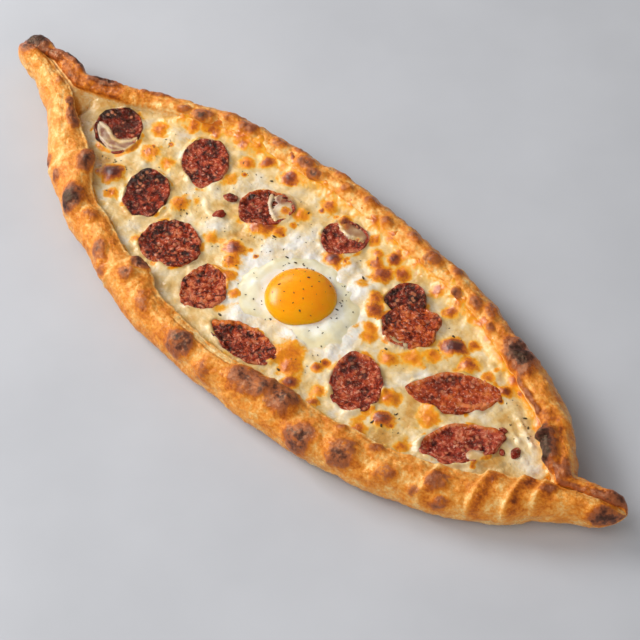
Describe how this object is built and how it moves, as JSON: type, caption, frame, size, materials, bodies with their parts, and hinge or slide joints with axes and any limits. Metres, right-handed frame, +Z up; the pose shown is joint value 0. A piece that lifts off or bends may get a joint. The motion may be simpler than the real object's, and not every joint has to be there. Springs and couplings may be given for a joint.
{
  "type": "turkish pide",
  "caption": "Boat-shaped bread with a folded, blistered rim and pinched tips, filled with melted cheese, round slices of sausage and an egg.",
  "frame": {"origin": "on the ground under the middle of the bread's bounding box", "axes": "+X along the bread, towards the tip whose two folds end side by side; +Y across it; +Z up"},
  "size_m": [0.45, 0.15, 0.0266],
  "materials": {
    "crust": "baked, satin",
    "cheese": "melted, glossy",
    "egg_white": "wet, glossy",
    "egg_yolk": "wet, glossy",
    "sausage": "oily, glossy"
  },
  "bodies": {
    "root": {"crust": "crust", "cheese": "cheese", "egg_white": "egg_white", "egg_yolk": "egg_yolk", "sausage_01": "sausage", "sausage_02": "sausage", "sausage_03": "sausage", "sausage_04": "sausage", "sausage_05": "sausage", "sausage_06": "sausage", "sausage_07": "sausage", "sausage_08": "sausage", "sausage_09": "sausage", "sausage_10": "sausage", "sausage_11": "sausage", "sausage_12": "sausage", "sausage_13": "sausage"}
  },
  "joints": []
}
